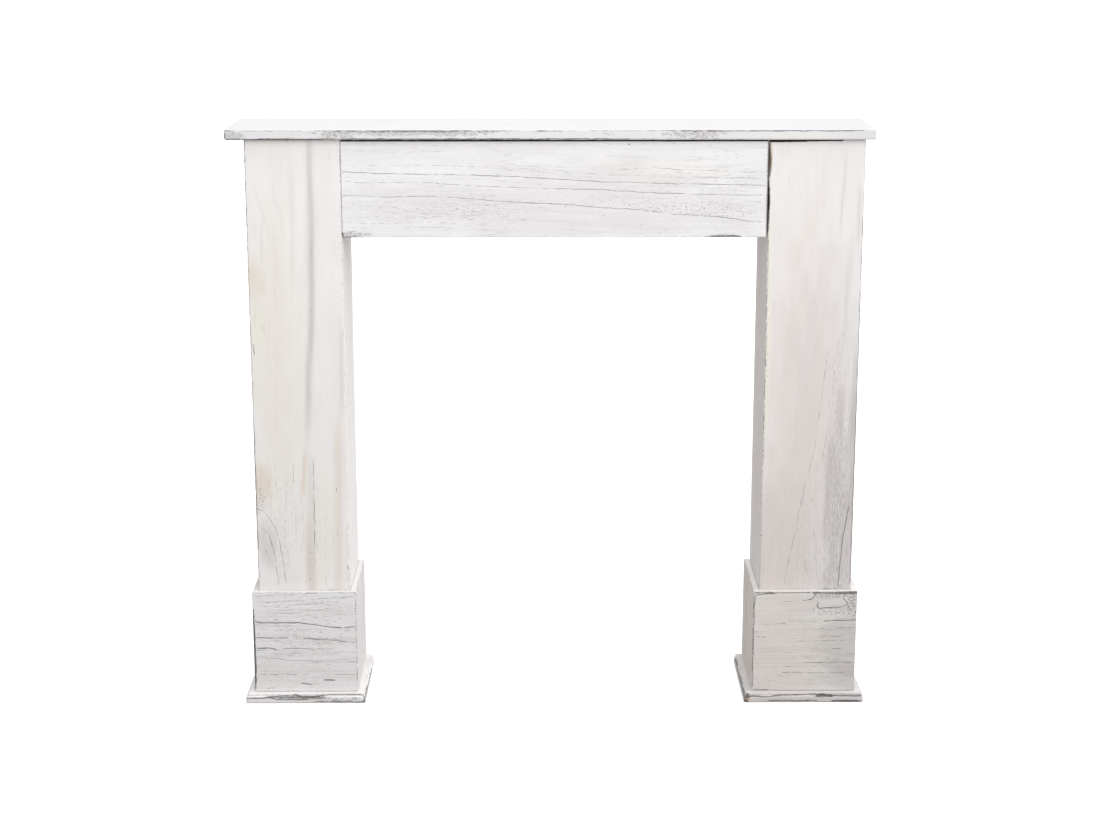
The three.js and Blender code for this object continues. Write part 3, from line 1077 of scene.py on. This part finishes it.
LEFT_PLINTH_MARKS = [
    Line([(4, 164.1), (31, 165.3), (59, 167.3), (84, 168.2), (106, 170.4)], 0.75),
    Line([(4, 153.9), (27, 153.9), (43, 155.1), (65, 156.5), (88, 158.3), (167, 164.1)], 0.76),
    Line([(4, 146.9), (21, 146.9), (53, 147.8), (73, 149.5), (97, 151.7), (142, 153.6)], 0.76),
    Line([(24, 142.6), (44, 143.4), (76, 145.2)], 0.55),
    Line([(116, 143.4), (167, 144)], 0.74),
    Line([(22, 135), (47, 134.3), (90, 136)], 0.68),
    Line([(132, 161.2), (149, 160.5)], 0.75),
    Line([(110, 126.2), (116, 128.9), (123, 130.3), (126, 127.4), (133, 127.4)], 0.7),
    Line([(3, 122.2), (6, 119.7), (17, 118.7), (39, 118.7), (73, 119), (82, 117.5), (106, 114.3),
          (119, 111.7),
          (142, 109.9)], 1.0, 0.8, 0.4),
    Line([(149, 110.5), (159, 112), (168, 112.4)], 0.95, 0.7, 0.3),
    Line([(4, 107.6), (20, 107.6)], 0.8),
    Line([(4, 100), (11, 100)], 0.75),
    Line([(4, 93.5), (14, 93.8), (24, 92.7), (56, 93)], 0.95, 0.7, 0.3),
    Line([(81, 91.3), (100, 90.6), (119, 89.1), (135, 88.4), (149, 86.2), (167, 85.5)], 0.88, 0.7, 0.3),
    Line([(4, 74.8), (24, 74.8), (36, 73.8)], 1.0, 0.7, 0.3),
    Line([(47, 74.5), (65, 75), (85, 73.8), (97, 73.1), (127, 73.5)], 0.85, 0.65, 0.3),
    Line([(4, 71.6), (17, 72.1)], 0.85),
    Line([(4, 57.8), (39, 57.1), (60, 53.4), (95, 52.7), (116, 52.7), (167, 52)], 0.76),
    Line([(4, 53.4), (37, 53.4)], 0.6),
    Line([(145, 49.8), (167, 50.5)], 0.65),
    Line([(9, 29.8), (31, 29.8), (43, 28.6), (53, 30.8), (57, 29.4), (88, 30.1)], 0.82),
    Line([(111, 31.6), (120, 28.6), (135, 29.4), (167, 29.4)], 0.78),
    Line([(114, 19.6), (122, 20.2), (130, 19.6)], 1.0, 1.0, 0.3),
    Line([(76, 14.1), (84, 13.4), (92, 12.3)], 1.0, 0.8, 0.3),
    Line([(4, 6.1), (18, 6.1), (140, 6.1)], 0.55),
    Line([(19, 5.3), (22, 3.9), (27, 6.1), (31, 4.6), (35, 6.8)], 0.8),
    Line([(0.8, 18), (0.8, 58)], 1.0, 1.7, 0.3),
    Line([(0.6, 60), (0.8, 120)], 1.0, 1.4, 0.3),
    Patch("rub", (0, 74), (5, 80), 0.9),
    Line([(0.6, 120), (0.6, 142)], 0.85, 0.9),
    Line([(0.6, 4), (0.6, 18)], 0.85, 0.9),
    Line([(167.6, 6), (167.6, 168)], 0.64, 0.55),
    Patch("stipple", (110, 84), (60, 16), 0.6),
    Patch("stipple", (60, 104), (70, 14), 0.5),
    Patch("figure", (84, 104), (120, 80), 0.7),
    Patch("figure", (84, 40), (120, 50), 0.35),
    Patch("clean", (84, 0), (110, 4), 1.0),
]

PLINTH_OUTER_MARKS = [Patch("grey", (80, 85), (400, 400), 0.7)]

LEFT_PLINTH_INNER_MARKS = [Patch("grey", (80, 85), (220, 220), 0.3)]

RIGHT_PLINTH_INNER_MARKS = [
    Patch("tan", (80, 85), (220, 220), 0.55),
    Patch("grey", (102, 85), (16, 110), 0.4),
]

RIGHT_PLINTH_MARKS = [
    Line([(0.6, 146), (0.6, 157), (1, 162.7), (3, 164.8), (14, 166.3), (34, 168)], 1.0, 0.9, 0.2),
    Line([(3, 169.3), (90, 169.5)], 0.9, 0.9),
    Line([(96, 169), (150, 168.6), (168, 169.4)], 1.0, 1.7),
    Line([(101, 167), (97, 162), (94, 158.3), (90, 156.8)], 1.0, 0.9, 0.3),
    Line([(39, 151.7), (47, 153.9), (68, 153.2), (85, 155.7), (90, 156.8)], 0.7),
    Line([(105, 151), (103, 145.2), (107, 142.3), (117, 143), (140, 143), (152, 148.1), (151, 152.5),
          (145, 158.3),
          (146, 164.1), (151, 167.8)], 0.95, 0.75, 0.3),
    Line([(69, 143), (73, 147.4), (81, 147.4), (84, 143), (79, 138.6), (72, 139.4), (69, 143)], 0.5),
    Line([(0, 127.7), (9, 123.3), (24, 127), (34, 130.6), (44, 133.5), (50, 136.4)], 0.65),
    Line([(0, 114.3), (15, 113.4), (30, 113.9), (44, 116), (62, 117.5), (76, 118.7), (117, 119.7)], 0.74),
    Line([(117, 120.4), (132, 121.6), (167, 121.6)], 1.0, 0.7),
    Line([(140, 108.8), (167, 108.8)], 0.85),
    Line([(50, 105.6), (73, 106.6), (111, 107.6)], 0.6),
    Line([(112, 107.5), (113, 107.5)], 1.0, 1.0),
    Line([(0, 102.9), (9, 101.8), (21, 101.8)], 0.8),
    Line([(156, 101.2), (167, 101.2)], 0.85),
    Line([(0, 94.2), (21, 92.4)], 0.8),
    Line([(47, 94.2), (70, 94.2)], 0.55),
    Line([(111, 93.5), (167, 94.5)], 0.76),
    Line([(72, 85.5), (107, 85.5), (167, 87)], 0.72),
    Line([(79, 73.1), (114, 73.1)], 0.72),
    Line([(129, 73.1), (143, 73.1)], 0.8),
    Line([(0, 71.6), (12, 69.4)], 0.55),
    Line([(53, 56), (97, 56), (146, 56.3)], 0.7),
    Line([(84, 48.3), (167, 48.3)], 0.76),
    Line([(35, 43.2), (68, 41), (82, 42), (120, 40.6), (146, 39.6)], 0.7),
    Line([(49, 31.6), (79, 31.3), (97, 30.4), (148, 30.1)], 0.88),
    Line([(44, 27.2), (68, 23.5)], 0.55),
    Line([(113, 24.3), (143, 22.8)], 0.7),
    Line([(2, 22.1), (15, 20.6), (24, 18.5), (34, 16.3)], 0.66),
    Line([(54, 11.9), (88, 11.2), (155, 11.2)], 0.58),
    Line([(3, 11.9), (19, 11.2)], 0.6),
    Line([(1, 1), (28, 0.6)], 0.8),
    Line([(0.6, 8), (0.6, 146)], 0.78, 0.8),
    Patch("stipple", (126, 166), (46, 9), 1.4),
    Patch("stipple", (161, 150), (15, 36), 1.5),
    Patch("stipple", (124, 134), (46, 10), 1.1),
    Patch("stipple", (98, 150), (9, 18), 0.7),
    Patch("stipple", (2, 158), (13, 20), 0.7),
    Line([(28, 150), (46, 147), (62, 146)], 0.6),
    Line([(60, 137), (78, 134), (98, 135)], 0.6),
    Patch("grey", (160, 152), (16, 30), 1.0),
    Patch("grey", (124, 164), (46, 12), 0.9),
    Patch("figure", (100, 60), (90, 60), 0.25),
    Patch("pink", (40, 70), (110, 150), 0.6),
    Patch("tan", (60, 80), (140, 160), 0.22),
    # Grey tone and painted shade: these darken the right plinth, most towards its right, where the light
    # falls off
    Patch("grey", (84, 85), (220, 220), 0.3),
    Patch("grey", (150, 70), (70, 150), 0.75),
    Patch("grey", (156, 36), (44, 34), 1.0),
    Patch("clean", (96, 0), (90, 4), 1.0),
    Patch("cream", (96, 70), (80, 110), 0.45),
    Patch("cream", (30, 150), (60, 40), 0.4),
]

SHELF_RIM_MARKS = {
    "front": [
        Patch("rub", (12, 8), (24, 12), 1.0),
        Line([(24, 1.2), (66, 0.6), (120, 0.8)], 0.66, 0.8),
        Line([(28, 13.2), (620, 13.2)], 0.8, 1.0),
        Line([(620, 13.4), (800, 13.4)], 0.62, 0.8),
        Patch("rub", (330, 13.5), (360, 2.4), 0.6),
        Patch("rub", (90, 13.5), (90, 3.0), 0.8),
        Patch("pink", (100, 12), (22, 5), 1.0),
        Patch("rub", (180, 6), (60, 12), 0.8),
        Patch("rub", (300, 4), (170, 8), 0.95),
        Patch("rub", (400, 2), (60, 3), 0.7),
        Patch("rub", (500, 2), (60, 3), 0.6),
        Patch("rub", (585, 7), (30, 6), 0.55),
        Patch("rub", (722, 6), (80, 10), 0.85),
        Patch("tan", (760, 1), (50, 4), 0.35),
        Line([(560, 0.8), (690, 0.8)], 0.7, 0.7),
        Line([(740, 1), (980, 0.8)], 0.9, 0.9),
        Patch("clean", (940, 9), (90, 6), 1.0),
        Patch("cream", (880, 8), (80, 10), 0.3),
    ],
    "start": [Patch("rub", (8, 8), (26, 10), 1.0), Line([(0, 13), (150, 13)], 0.7, 0.8)],
}

LEFT_BASE_RIM_MARKS = {
    "front": [
        Line([(0, 6), (28, 6), (51, 3.4)], 1.0, 0.9),
        Line([(51, 3.4), (79, 1.1), (92, 4.3), (121, 3.1), (137, 0.5), (189, 0.5)], 0.92, 0.8),
        Line([(39, 5.3), (54, 8.2), (97, 8.2), (118, 11.1), (192, 12.1)], 0.92, 0.9),
        Patch("rub", (75, 5), (50, 5), 0.62),
        Patch("rub", (115, 6), (36, 5), 0.62),
        Patch("rub", (165, 9), (44, 5), 0.72),
        Patch("tan", (106, 7), (20, 4), 0.6),
        Line([(192, 2), (193, 13)], 1.0, 1.2),
        Patch("clean", (40, 14), (70, 4), 1.0),
        Patch("clean", (160, 3.5), (34, 2), 1.0),
    ],
    "end": [Line([(0, 5), (120, 5)], 0.95, 1.0), Line([(0, 12), (40, 12)], 0.8, 0.8)],
    "start": [Line([(0, 6), (130, 6)], 0.7, 0.9)],
}

# Grey tone and painted shade: the right base is greyed all over, as the light falls off towards the lower
# right
RIGHT_BASE_MARKS = [Patch("grey", (97, 80), (300, 300), 0.7)]

RIGHT_BASE_RIM_MARKS = {
    "front": [
        Line([(7, 4.6), (17, 4.3), (30, 5.3), (46, 4.3), (68, 2.8)], 0.92, 0.8),
        Line([(68, 2.8), (117, 1.7), (143, 3.8), (192, 3.8)], 0.95, 0.8),
        # Grey tone and painted shade, as the light falls off towards the lower right
        Patch("grey", (97, 7), (240, 40), 0.8),
        Patch("rub", (130, 3.5), (26, 4), 0.8),
        Line([(118, 2), (143, 3.8)], 1.0, 1.2),
        Line([(40, 11.8), (85, 11.5), (118, 10.7), (147, 9.6)], 0.92, 0.8),
        Line([(143, 13), (157, 12), (192, 12.5)], 1.0, 1.2),
        Patch("rub", (168, 11.5), (32, 4), 0.8),
        Patch("rub", (4, 8), (8, 12), 1.0),
        Patch("tan", (4, 8), (9, 12), 1.0),
    ],
    "start": [Line([(0, 4.5), (160, 4.5)], 0.95, 1.1), Line([(0, 11.5), (160, 11.5)], 0.92, 1.1),
              Patch("tan", (0, 9), (10, 10), 1.0)],
    "end": [Line([(0, 11), (90, 11)], 0.95, 1.2), Line([(0, 4), (60, 4)], 0.8, 0.8)],
}


# The stretches of the posts' fronts, in millimetres up the board, whose fine arcs need close lines
LEFT_ARCS = (168.5, 320.0)
RIGHT_FOOT_LINES = (168.5, 200.0)

# How much the right post's boards fall short of the shelf, at their two sides
RIGHT_FRONT_SLACK = (2.6, 0.5)
RIGHT_INNER_SLACK = (2.6, 2.6)
NO_SLACK = (0.0, 0.0)


def facing(side):
    """The axes towards the opening and away from it, for the left (-1) or the right (1) upright."""
    return ("+x", "-x") if side < 0 else ("-x", "+x")


def post_boards(word, side, seed):
    """The front, inner and outer board of one post. side is -1 for the left post."""
    left = side < 0
    to_opening, from_opening = facing(side)
    yield Board(
        f"post_front_board_{word}", "post", "+z", "+x", "+y",
        marks=LEFT_POST_MARKS if left else RIGHT_POST_MARKS,
        rim_marks={} if left else RIGHT_POST_RIM_MARKS,
        steps=FRONT_STEPS,
        close_lines=LEFT_ARCS if left else RIGHT_FOOT_LINES,
        slack_top=NO_SLACK if left else RIGHT_FRONT_SLACK,
        # The top rim is painted dark, as painted shade in the gap under the shelf
        gap_shaded_rims=("end",), seed=seed, rub=0.2, figure=0.08,
    )
    yield Board(
        f"post_inner_board_{word}", "post", "+z", "+y", from_opening,
        marks=[] if left else RIGHT_INNER_MARKS,
        steps=SIDE_STEPS,
        slack_top=NO_SLACK if left else RIGHT_INNER_SLACK,
        # The top rim is painted dark, as painted shade in the gap under the shelf
        gap_shaded_rims=("end",), seed=seed + 1, rub=0.12, figure=0.12,
    )
    yield Board(
        f"post_outer_board_{word}", "post", "+z", "+y", to_opening,
        marks=OUTER_MARKS, steps=SIDE_STEPS, seed=seed + 2, rub=0.25, figure=0.4,
    )


def plinth_boards(word, side, seed):
    """The front, inner and outer board round one post's foot."""
    left = side < 0
    to_opening, from_opening = facing(side)
    yield Board(
        f"plinth_front_board_{word}", "plinth", "+x", "+z", "+y",
        marks=LEFT_PLINTH_MARKS if left else RIGHT_PLINTH_MARKS,
        steps=FINE_STEPS, seed=seed, rub=0.2, figure=0.4, clean_edge=True,
    )
    yield Board(
        f"plinth_inner_board_{word}", "plinth", "+y", "+z", from_opening,
        marks=LEFT_PLINTH_INNER_MARKS if left else RIGHT_PLINTH_INNER_MARKS,
        seed=seed + 1, rub=0.2, figure=0.4, clean_edge=True,
    )
    yield Board(
        f"plinth_outer_board_{word}", "plinth", "+y", "+z", to_opening,
        marks=PLINTH_OUTER_MARKS, seed=seed + 2, rub=0.35, figure=0.5, clean_edge=True,
    )


def base_board(word, side, seed):
    left = side < 0
    return Board(
        f"base_board_{word}", "base", "+x", "+y", "-z",
        marks=[] if left else RIGHT_BASE_MARKS,
        rim_marks=LEFT_BASE_RIM_MARKS if left else RIGHT_BASE_RIM_MARKS,
        profile="base", steps=EDGE_STEPS, seed=seed, rub=0.1, figure=0.3,
    )


def shelf_board():
    return Board(
        "shelf_board", "shelf", "+x", "+y", "-z",
        rim_marks=SHELF_RIM_MARKS, profile="shelf", steps=EDGE_STEPS, seed=3, rub=0.15, figure=0.1,
    )


def header_board():
    return Board(
        "header_board", "header", "+x", "+z", "+y",
        marks=HEADER_MARKS, steps=FRONT_STEPS, slope=-0.035,
        # Its ends and top rim are painted dark, as painted shade in the gaps against the posts and the
        # shelf
        gap_shaded_rims=("start", "end", "upper"), seed=5, rub=0.15, figure=0.35,
    )


def all_boards():
    yield shelf_board()
    yield header_board()
    for word, side, seed in (("left", -1, 10), ("right", 1, 30)):
        yield from post_boards(word, side, seed)
        yield from plinth_boards(word, side, seed + 6)
        yield base_board(word, side, seed + 12)


def dress_boards():
    finishes = {
        "shelf": shelf_finish(),
        "header": header_finish(),
        "post": post_finish(),
        "plinth": plinth_finish(),
        "base": base_finish(),
    }
    for board in all_boards():
        make_board(board, finishes[board.slot])


# The studio, in metres

WHITE = (1.0, 1.0, 1.0, 1.0)
BLACK = (0.0, 0.0, 0.0, 1.0)
FLOOR_SIZE = 60.0
FLOOR_COLOUR = paint(0.98, 0.98, 0.98)
FLOOR_BOUNCE = paint(0.70, 0.70, 0.70)
FLOOR_GLOW = paint(0.62, 0.62, 0.62)
FLOOR_ROUGHNESS = 0.9
SKY_FILL = 0.56

# The soft lights. Each direction points from the surround to its light.
OVERHEAD_DIRECTION = (0.05, 0.1, 1.0)
OVERHEAD_STRENGTH = 1.5
OVERHEAD_SPREAD = math.radians(60.0)
RIGHT_DIRECTION = (1.0, -0.15, 0.2)
RIGHT_STRENGTH = 2.4
RIGHT_SPREAD = math.radians(50.0)
FRONT_PLACE = (0.02, -1.45, 1.6)
FRONT_TILT = math.radians(64.0)
FRONT_SIZE = 1.2
FRONT_POWER = 13.5


def floor_material():
    """Pale, and plain white where the camera sees it, as the photograph's ground is."""
    material = bpy.data.materials.new("pale floor")
    material.use_nodes = True
    tree = material.node_tree
    shader = tree.nodes["Principled BSDF"]
    seen = add(tree, "ShaderNodeLightPath", {}).outputs["Is Camera Ray"]
    feed(tree, shader.inputs["Base Color"], blend(tree, seen, FLOOR_BOUNCE, FLOOR_COLOUR))
    feed(tree, shader.inputs["Emission Color"], blend(tree, seen, BLACK, FLOOR_GLOW))
    shader.inputs["Emission Strength"].default_value = 1.0
    shader.inputs["Roughness"].default_value = FLOOR_ROUGHNESS
    shader.inputs["Specular IOR Level"].default_value = 0.0
    return material


def lay_floor():
    half = FLOOR_SIZE / 2
    mesh = bpy.data.meshes.new("studio_floor_mesh")
    corners = [(-half, -half, 0.0), (half, -half, 0.0), (half, half, 0.0), (-half, half, 0.0)]
    mesh.from_pydata(corners, [], [(0, 1, 2, 3)])
    mesh.materials.append(floor_material())
    floor = bpy.data.objects.new("studio_floor", mesh)
    bpy.context.scene.collection.objects.link(floor)


def light_world():
    """A soft grey sky for the surround, which the camera sees as plain white."""
    world = bpy.data.worlds.new("studio")
    bpy.context.scene.world = world
    world.use_nodes = True
    tree = world.node_tree
    tree.nodes.clear()
    fill = add(tree, "ShaderNodeBackground", {"Color": WHITE, "Strength": SKY_FILL}).outputs[0]
    backdrop = add(tree, "ShaderNodeBackground", {"Color": WHITE, "Strength": 1.0}).outputs[0]
    seen = add(tree, "ShaderNodeLightPath", {}).outputs["Is Camera Ray"]
    mixed = add(tree, "ShaderNodeMixShader", {0: seen, 1: fill, 2: backdrop}).outputs[0]
    add(tree, "ShaderNodeOutputWorld", {"Surface": mixed})


def add_lamp(name, lamp, place, turn):
    stand = bpy.data.objects.new(name, lamp)
    stand.location = place
    stand.rotation_euler = turn
    bpy.context.scene.collection.objects.link(stand)


def add_soft_light(name, towards, strength, spread):
    """A broad light from one side. towards points from the surround to the light."""
    lamp = bpy.data.lights.new(name, "SUN")
    lamp.energy = strength
    lamp.angle = spread
    add_lamp(name, lamp, (0.0, 0.0, 0.0), Vector(towards).to_track_quat("Z", "Y").to_euler())


def add_front_light():
    """A softbox above the camera's side, whose light falls off towards the floor."""
    lamp = bpy.data.lights.new("front softbox", "AREA")
    lamp.size = FRONT_SIZE
    lamp.energy = FRONT_POWER
    add_lamp("front softbox", lamp, FRONT_PLACE, (FRONT_TILT, 0.0, 0.0))


def light_studio():
    light_world()
    add_soft_light("overhead softbox", OVERHEAD_DIRECTION, OVERHEAD_STRENGTH, OVERHEAD_SPREAD)
    add_soft_light("right softbox", RIGHT_DIRECTION, RIGHT_STRENGTH, RIGHT_SPREAD)
    add_front_light()
    bpy.context.scene.view_settings.view_transform = "Standard"


def set_camera():
    camera = bpy.data.cameras.new("photograph camera")
    camera.lens = LENS
    camera.sensor_width = SENSOR_WIDTH
    camera.shift_y = SHIFT_UP
    stand = bpy.data.objects.new("photograph camera", camera)
    stand.location = EYE
    stand.rotation_euler = (math.pi / 2 - PITCH_DOWN, 0.0, -YAW_RIGHT)
    bpy.context.scene.collection.objects.link(stand)
    bpy.context.scene.camera = stand


set_camera()
lay_floor()
light_studio()
dress_boards()
